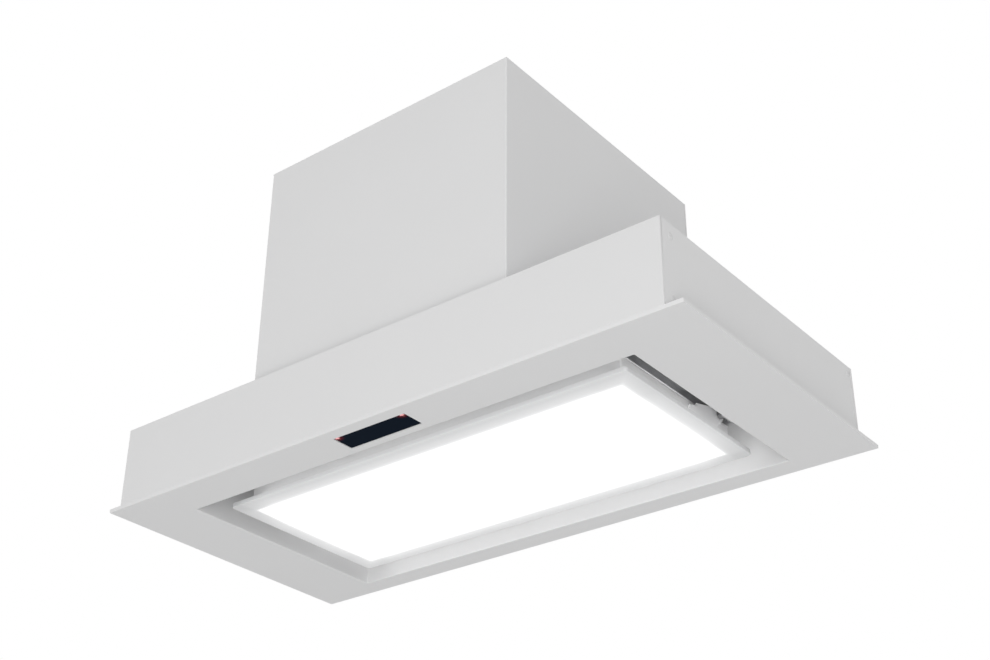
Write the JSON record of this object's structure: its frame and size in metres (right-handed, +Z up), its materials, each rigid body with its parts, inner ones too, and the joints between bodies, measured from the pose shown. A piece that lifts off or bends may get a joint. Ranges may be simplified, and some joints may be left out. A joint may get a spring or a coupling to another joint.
{
  "type": "integrated range hood",
  "caption": "Built-in kitchen range hood with painted steel casing, swing-down LED panel, grease filters, blower and round duct outlet",
  "frame": {"origin": "middle of the underside of the bottom frame", "axes": "+X to the right seen from the front, +Y towards the back, +Z up"},
  "size_m": [0.6, 0.29, 0.3445],
  "materials": {
    "white_paint": "satin",
    "inner_steel": "satin",
    "hinge_steel": "satin",
    "screw_steel": "satin",
    "painted_screws": "satin",
    "lit_glass": "satin",
    "black_glass": "gloss",
    "red_lens": "gloss",
    "opal_plastic": "satin",
    "filter_aluminium": "satin",
    "dark_plastic": "matt",
    "dark_rubber": "matt",
    "circuit_board": "satin"
  },
  "bodies": {
    "hood": {"bottom_frame": "white_paint", "front_panel": "white_paint", "left_side_panel": "white_paint", "right_side_panel": "white_paint", "back_panel": "white_paint", "upper_shell": "white_paint", "upper_back_panel": "white_paint", "upper_top_panel": "white_paint", "deck_panel": "inner_steel", "filter_rails": "inner_steel", "catch_brackets": "inner_steel", "scroll_band": "inner_steel", "left_scroll_side": "inner_steel", "right_scroll_side": "inner_steel", "blower_cradle": "inner_steel", "motor_bracket": "inner_steel", "light_driver": "inner_steel", "left_hinge_bracket": "hinge_steel", "right_hinge_bracket": "hinge_steel", "hinge_pins": "hinge_steel", "hinge_springs": "hinge_steel", "flap_rod": "hinge_steel", "housing_screws": "screw_steel", "spigot_screws": "screw_steel", "side_screws": "painted_screws", "control_glass": "black_glass", "indicator_lenses": "red_lens", "capacitor": "opal_plastic", "catch_magnets": "dark_plastic", "filter_magnets": "dark_plastic", "motor": "dark_plastic", "outlet_spigot": "dark_plastic", "control_housing": "dark_plastic", "electronics_box": "dark_plastic", "electronics_lid": "dark_plastic", "cable_gland": "dark_plastic", "gland_nut": "dark_plastic", "inner_leads": "dark_plastic", "motor_grommets": "dark_rubber", "control_board": "circuit_board", "power_board": "circuit_board"},
    "light_panel": {"panel_glass": "lit_glass", "panel_tray": "white_paint", "tray_lid": "white_paint", "diffuser": "opal_plastic", "light_strips": "opal_plastic", "striker_plates": "hinge_steel", "left_hinge_arm": "hinge_steel", "right_hinge_arm": "hinge_steel"},
    "left_filter": {"left_filter_frame": "filter_aluminium", "left_filter_mesh": "filter_aluminium", "left_filter_handle": "filter_aluminium"},
    "right_filter": {"right_filter_frame": "filter_aluminium", "right_filter_mesh": "filter_aluminium", "right_filter_handle": "filter_aluminium"},
    "impeller": {"impeller": "dark_plastic", "blower_shaft": "hinge_steel", "shaft_collar": "hinge_steel"},
    "left_flap": {"left_flap": "dark_plastic"},
    "right_flap": {"right_flap": "dark_plastic"}
  },
  "joints": [
    {"name": "panel_swing", "type": "hinge", "parent": "hood", "child": "light_panel", "pos_m": [0, 0.07, 0.0303], "axis": [1, 0, 0], "range_deg": [0, 85]},
    {"name": "left_filter_tip", "type": "hinge", "parent": "hood", "child": "left_filter", "pos_m": [-0.06775, 0.111, 0.0657], "axis": [1, 0, 0], "range_deg": [0, 9]},
    {"name": "right_filter_tip", "type": "hinge", "parent": "hood", "child": "right_filter", "pos_m": [0.06775, 0.111, 0.0657], "axis": [1, 0, 0], "range_deg": [0, 9]},
    {"name": "impeller_spin", "type": "hinge", "parent": "hood", "child": "impeller", "pos_m": [0, -0.025, 0.1836], "axis": [1, 0, 0], "continuous": true},
    {"name": "left_flap_lift", "type": "hinge", "parent": "hood", "child": "left_flap", "pos_m": [0, 0.018, 0.318], "axis": [0, 1, 0], "range_deg": [0, 80]},
    {"name": "right_flap_lift", "type": "hinge", "parent": "hood", "child": "right_flap", "pos_m": [0, 0.018, 0.318], "axis": [0, -1, 0], "range_deg": [0, 80]}
  ]
}
